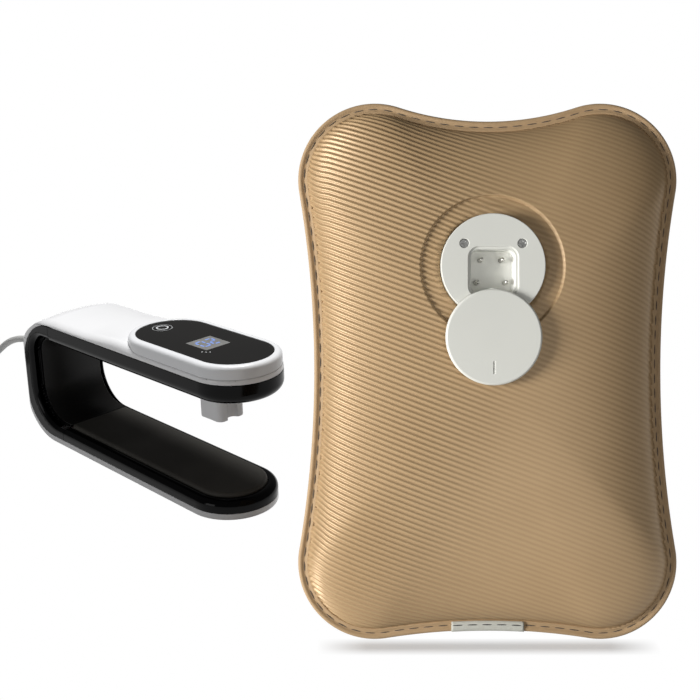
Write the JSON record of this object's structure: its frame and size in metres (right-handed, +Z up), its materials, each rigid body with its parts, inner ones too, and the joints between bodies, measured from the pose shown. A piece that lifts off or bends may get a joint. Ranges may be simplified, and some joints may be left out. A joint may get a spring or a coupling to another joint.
{
  "type": "hot cold therapy machine",
  "caption": "Soft rechargeable warm pack with a swivel-lidded socket, and a C-shaped charging clamp with a power key and display.",
  "frame": {"origin": "on the table, below the middle of the bag and clamp as they stand together", "axes": "+Z up; -Y is the bag's front face, leaning back by 20 degrees; the clamp stands behind on the -X side, its tips turned 43.3 degrees from +X towards -Y"},
  "size_m": [0.5929, 0.4383, 0.267],
  "materials": {
    "gold_cover": "ribbed, satin",
    "gold_rim": "ribbed, stitched",
    "grey_tape": "woven",
    "liner": "satin",
    "water": "stands for the liquid",
    "ivory_plastic": "fine satin",
    "gasket_rubber": "matte",
    "contact_metal": "polished",
    "steel": "satin",
    "ceramic_white": "matte",
    "black_parts": "matte",
    "red_wire": "satin",
    "white_gloss": "glossy",
    "grey_gloss": "glossy",
    "black_gloss": "glossy",
    "black_matte": "fine matte",
    "panel_black": "satin glass",
    "lcd_grey": "dark window",
    "lcd_body": "satin",
    "board_green": "satin",
    "relay_blue": "satin",
    "module_tan": "satin",
    "plug_grey": "satin",
    "cord_grey": "satin"
  },
  "bodies": {
    "clamp": {"base_shell": "white_gloss", "spine_cover": "white_gloss", "top_shell": "white_gloss", "spine_case": "black_gloss", "upper_case": "black_gloss", "lower_case": "black_gloss", "control_bezel": "grey_gloss", "display_panel": "panel_black", "lcd_lens": "lcd_grey", "lcd_module": "lcd_body", "key_ring": "white_gloss", "key_switch": "black_parts", "control_board": "board_green", "relay": "relay_blue", "power_module": "module_tan", "board_screws": "steel", "plug_housing": "plug_grey", "contact_sleeves": "contact_metal", "plate_hinge_pin": "steel", "plate_spring": "steel", "cutoff_switch": "black_parts", "lever_pin": "steel", "wire_harness": "red_wire", "base_screws": "steel", "rubber_feet": "gasket_rubber", "strain_relief": "cord_grey", "cord_anchor": "black_parts", "cord": "cord_grey", "cord_coil": "cord_grey", "mains_plug": "cord_grey", "mains_pins": "contact_metal"},
    "bag": {"cover_front": "gold_cover", "cover_back": "gold_cover", "rim_binding": "gold_rim", "hem_tab": "grey_tape", "bladder": "liner", "water_fill": "water", "heater_housing": "ivory_plastic", "housing_gasket": "gasket_rubber", "socket_plate": "ivory_plastic", "socket_cup": "ivory_plastic", "contact_pins": "contact_metal", "plate_screws": "steel", "heater_tube": "steel", "heater_glands": "ceramic_white", "thermostat": "black_parts", "thermal_fuse": "contact_metal", "link_wires": "red_wire"},
    "lid": {"socket_lid": "ivory_plastic", "lid_clip": "steel", "lid_washer": "steel"},
    "key": {"power_key": "panel_black", "key_plunger": "red_wire"},
    "plate": {"pressure_plate": "black_matte"},
    "lever": {"switch_lever": "steel"}
  },
  "joints": [
    {"name": "bag_lift", "type": "slide", "parent": "clamp", "child": "bag", "axis": [0, 0, 1], "range_m": [0, 0.15]},
    {"name": "lid_swing", "type": "hinge", "parent": "bag", "child": "lid", "pos_m": [0.107, -0.11878, 0.17616], "axis": [0, -0.9397, 0.342], "range_deg": [0, 180]},
    {"name": "key_press", "type": "slide", "parent": "clamp", "child": "key", "axis": [0.0152, -0.0144, -0.9998], "range_m": [0, 0.0006], "stiffness_N_per_m": 2500, "springref_m": -0.0003},
    {"name": "plate_press", "type": "hinge", "parent": "clamp", "child": "plate", "pos_m": [-0.14853, 0.10222, 0.009], "axis": [0.6858, 0.7278, 0], "range_deg": [0, 1], "stiffness_Nm_per_rad": 8, "springref_deg": -1.72},
    {"name": "lever_tilt", "type": "hinge", "parent": "clamp", "child": "lever", "pos_m": [-0.06011, 0.0189, 0.0097], "axis": [0.6858, 0.7278, 0], "range_deg": [0, 7.9]}
  ],
  "couplings": [
    {"joint": "lever_tilt", "follows": "plate_press", "ratio": 7.9}
  ]
}
